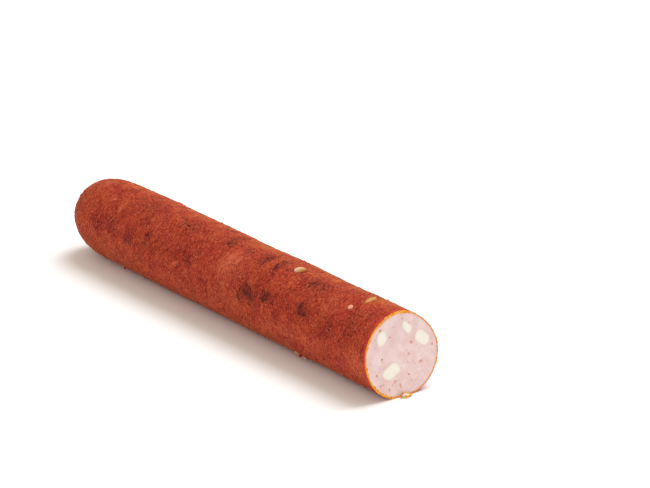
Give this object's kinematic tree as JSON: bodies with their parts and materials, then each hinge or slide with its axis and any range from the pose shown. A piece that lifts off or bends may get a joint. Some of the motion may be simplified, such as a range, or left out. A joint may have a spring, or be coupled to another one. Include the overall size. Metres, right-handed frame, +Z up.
{
  "type": "cheese sausage",
  "caption": "Thick smoked sausage lying on its side, one end domed and the other cut across, with cheese chunks in the pink meat.",
  "frame": {"origin": "middle of the base: the footprint's centre, on the surface that the sausage lies on", "axes": "+X along the sausage towards its cut end, +Z up, +Y to the left of +X"},
  "size_m": [0.2742, 0.0382, 0.0381],
  "materials": {
    "smoked_skin": "matte smoked casing, red-brown and mottled",
    "meat": "moist pale pink meat, freshly cut",
    "cheese": "smooth ivory cheese"
  },
  "bodies": {
    "root": {"sausage": "smoked_skin", "cheese_face_left": "cheese", "cheese_face_top": "cheese", "cheese_face_right": "cheese", "cheese_face_low": "cheese", "cheese_skin_mid": "cheese", "cheese_skin_small": "cheese", "cheese_skin_near": "cheese"}
  },
  "joints": []
}
